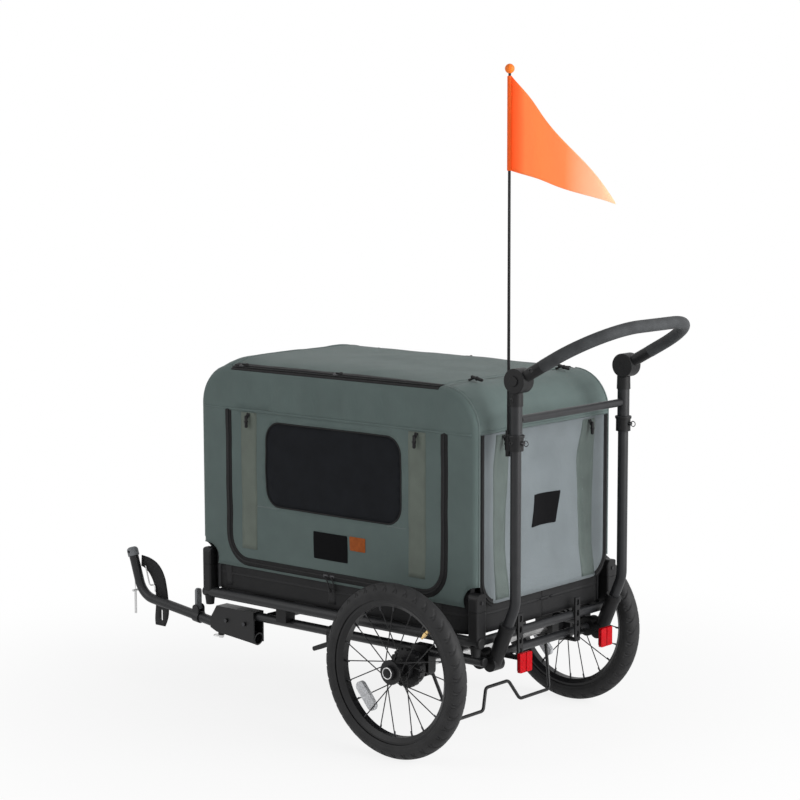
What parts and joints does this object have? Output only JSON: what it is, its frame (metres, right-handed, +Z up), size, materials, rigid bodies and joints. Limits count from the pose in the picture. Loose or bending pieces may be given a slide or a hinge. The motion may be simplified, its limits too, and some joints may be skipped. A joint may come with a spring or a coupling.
{
  "type": "dog bike trailer",
  "caption": "Two-wheeled bicycle trailer for a dog: fabric cabin with roll-up doors on a tube frame, spoked wheels, tow arm, tilting push handle and safety flag.",
  "frame": {"origin": "on the ground under the middle of the object's box", "axes": "+X to the rear, where the push handle is; +Y to the right side of the trailer as it is towed, away from the camera; +Z up"},
  "size_m": [1.4656, 0.724, 1.5365],
  "materials": {
    "anthracite": "satin powder coat",
    "black_plastic": "moulded grain",
    "grey_plastic": "moulded grain",
    "steel": "zinc plated",
    "tyre": "matt rubber",
    "rubber": "matt",
    "black_metal": "satin black",
    "fabric": "woven polyester",
    "black_fabric": "coated polyester",
    "webbing": "woven webbing",
    "board": "textured sheet",
    "foam": "foam grip",
    "red_lens": "prismatic",
    "clear_lens": "prismatic",
    "orange": "coated nylon",
    "black_rod": "fibreglass"
  },
  "bodies": {
    "frame": {"chassis_tubes": "anthracite", "floor_frame": "anthracite", "rail_plugs": "black_plastic", "rail_clamps": "black_plastic", "axle": "steel", "axle_brackets": "black_metal", "wheel_bearings": "steel", "handle_sockets": "black_plastic", "handle_posts": "anthracite", "tow_bracket": "black_metal", "frame_bolts": "steel", "corner_posts": "black_plastic", "corner_feet": "rubber", "floor_board": "board", "tub": "black_fabric", "hoop_left": "anthracite", "hoop_right": "anthracite", "cover_left": "fabric", "cover_right": "fabric", "cover_front": "fabric", "cover_rear": "fabric", "cover_roof": "fabric", "hold_down_straps": "rubber", "reflector_brackets": "black_plastic", "rear_reflectors": "red_lens"},
    "left_wheel": {"left_tyre": "tyre", "left_rim": "black_metal", "left_spokes": "black_metal", "left_hub": "black_plastic", "left_spoke_reflector": "clear_lens"},
    "right_wheel": {"right_tyre": "tyre", "right_rim": "black_metal", "right_spokes": "black_metal", "right_hub": "black_plastic", "right_spoke_reflector": "clear_lens"},
    "left_axle_button": {"left_axle_button": "steel"},
    "right_axle_button": {"right_axle_button": "steel"},
    "brake_bar": {"brake_bar": "black_metal"},
    "frame_lever": {"frame_lever": "black_metal"},
    "handle": {"handle_tubes": "anthracite", "post_collars": "black_plastic", "knuckle_bases": "black_plastic", "flag_pole": "black_rod", "flag_pennant": "orange"},
    "left_height_pin": {"left_height_pin": "steel"},
    "right_height_pin": {"right_height_pin": "steel"},
    "handlebar": {"handlebar": "black_plastic", "handle_grip": "foam"},
    "left_tilt_button": {"left_tilt_button": "black_plastic"},
    "right_tilt_button": {"right_tilt_button": "black_plastic"},
    "tow_arm": {"tow_arm": "anthracite", "hitch_cap": "grey_plastic", "safety_strap": "webbing", "hitch_hardware": "steel"},
    "tow_lever": {"tow_lever": "grey_plastic"},
    "tow_lock_pin": {"tow_lock_pin": "steel"},
    "left_door": {"left_door": "fabric"},
    "right_door": {"right_door": "fabric"},
    "rear_door": {"rear_door": "fabric"},
    "roof_flap": {"roof_flap": "fabric"}
  },
  "joints": [
    {"name": "left_wheel_spin", "type": "hinge", "parent": "frame", "child": "left_wheel", "pos_m": [0.24755, -0.3334, 0.1995], "axis": [0, 1, 0], "continuous": true},
    {"name": "right_wheel_spin", "type": "hinge", "parent": "frame", "child": "right_wheel", "pos_m": [0.24755, 0.3334, 0.1995], "axis": [0, 1, 0], "continuous": true},
    {"name": "left_axle_button_press", "type": "slide", "parent": "left_wheel", "child": "left_axle_button", "axis": [0, 1, 0], "range_m": [0, 0.004], "stiffness_N_per_m": 400},
    {"name": "right_axle_button_press", "type": "slide", "parent": "right_wheel", "child": "right_axle_button", "axis": [0, -1, 0], "range_m": [0, 0.004], "stiffness_N_per_m": 400},
    {"name": "brake_bar_step", "type": "hinge", "parent": "frame", "child": "brake_bar", "pos_m": [0.25555, 0, 0.182], "axis": [0, 1, 0], "range_deg": [-18, 0]},
    {"name": "frame_lever_turn", "type": "hinge", "parent": "frame", "child": "frame_lever", "pos_m": [-0.02045, -0.235, 0.2065], "axis": [0, 1, 0], "range_deg": [-22, 22]},
    {"name": "handle_height", "type": "slide", "parent": "frame", "child": "handle", "axis": [0, 0, 1], "range_m": [0, 0.055]},
    {"name": "left_height_pin_pull", "type": "slide", "parent": "handle", "child": "left_height_pin", "axis": [1, 0, 0], "range_m": [0, 0.012], "stiffness_N_per_m": 300},
    {"name": "right_height_pin_pull", "type": "slide", "parent": "handle", "child": "right_height_pin", "axis": [1, 0, 0], "range_m": [0, 0.012], "stiffness_N_per_m": 300},
    {"name": "handle_tilt", "type": "hinge", "parent": "handle", "child": "handlebar", "pos_m": [0.49255, 0, 0.858], "axis": [0, 1, 0], "range_deg": [-62, 48]},
    {"name": "left_tilt_button_press", "type": "slide", "parent": "handle", "child": "left_tilt_button", "axis": [0, 1, 0], "range_m": [0, 0.003], "stiffness_N_per_m": 400},
    {"name": "right_tilt_button_press", "type": "slide", "parent": "handle", "child": "right_tilt_button", "axis": [0, -1, 0], "range_m": [0, 0.003], "stiffness_N_per_m": 400},
    {"name": "tow_arm_slide", "type": "slide", "parent": "frame", "child": "tow_arm", "axis": [-0.9925, 0, 0.1226], "range_m": [0, 0.09]},
    {"name": "tow_lever_turn", "type": "hinge", "parent": "tow_arm", "child": "tow_lever", "pos_m": [-0.48045, -0.235, 0.2208], "axis": [0, 1, 0], "range_deg": [0, 68]},
    {"name": "tow_lock_pin_pull", "type": "slide", "parent": "frame", "child": "tow_lock_pin", "axis": [0, 0, -1], "range_m": [0, 0.01], "stiffness_N_per_m": 300},
    {"name": "left_door_roll", "type": "slide", "parent": "frame", "child": "left_door", "axis": [0, 0, 1], "range_m": [0, 0.3], "deforming": ["left_door"]},
    {"name": "right_door_roll", "type": "slide", "parent": "frame", "child": "right_door", "axis": [0, 0, 1], "range_m": [0, 0.3], "deforming": ["right_door"]},
    {"name": "rear_door_roll", "type": "slide", "parent": "frame", "child": "rear_door", "axis": [0, 0, 1], "range_m": [0, 0.335], "deforming": ["rear_door"]},
    {"name": "roof_flap_roll", "type": "slide", "parent": "frame", "child": "roof_flap", "axis": [1, 0, 0], "range_m": [0, 0.55], "deforming": ["roof_flap"]}
  ]
}
